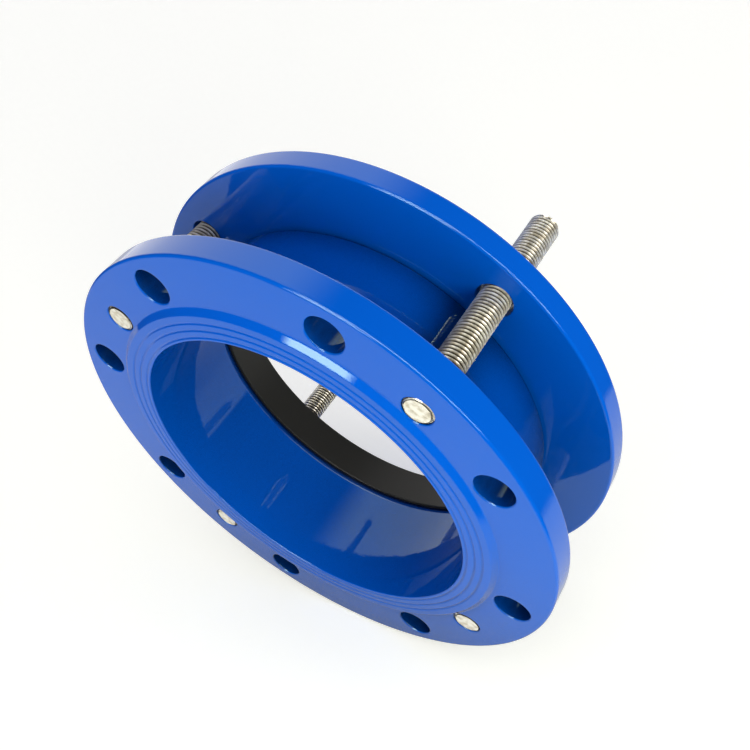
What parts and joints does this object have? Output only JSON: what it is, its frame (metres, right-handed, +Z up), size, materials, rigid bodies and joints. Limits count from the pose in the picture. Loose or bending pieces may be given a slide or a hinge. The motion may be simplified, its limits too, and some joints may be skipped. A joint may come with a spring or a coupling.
{
  "type": "dismantling joint",
  "caption": "Flanged pipe coupling: a drilled flange with a short barrel, and a loose gland on threaded studs that squeezes a rubber ring on to a plain pipe end.",
  "frame": {"origin": "centre of the waterway in the plane of the sealing face", "axes": "+Y along the pipe axis from the sealing face to the gland, +Z up in a level pipe run, bolt holes straddling the vertical"},
  "size_m": [0.335, 0.155, 0.335],
  "materials": {
    "casting_paint": "glossy blue epoxy coat",
    "gland_paint": "glossy blue epoxy coat",
    "seal_rubber": "smooth black rubber",
    "stud_steel": "bright stainless thread"
  },
  "bodies": {
    "body": {"flanged_body": "casting_paint", "sealing_ring": "seal_rubber", "stud_1": "stud_steel", "stud_2": "stud_steel", "stud_3": "stud_steel", "stud_4": "stud_steel"},
    "gland": {"gland_flange": "gland_paint"}
  },
  "joints": [
    {"name": "gland_slide", "type": "slide", "parent": "body", "child": "gland", "axis": [0, 1, 0], "range_m": [0, 0.07]}
  ]
}
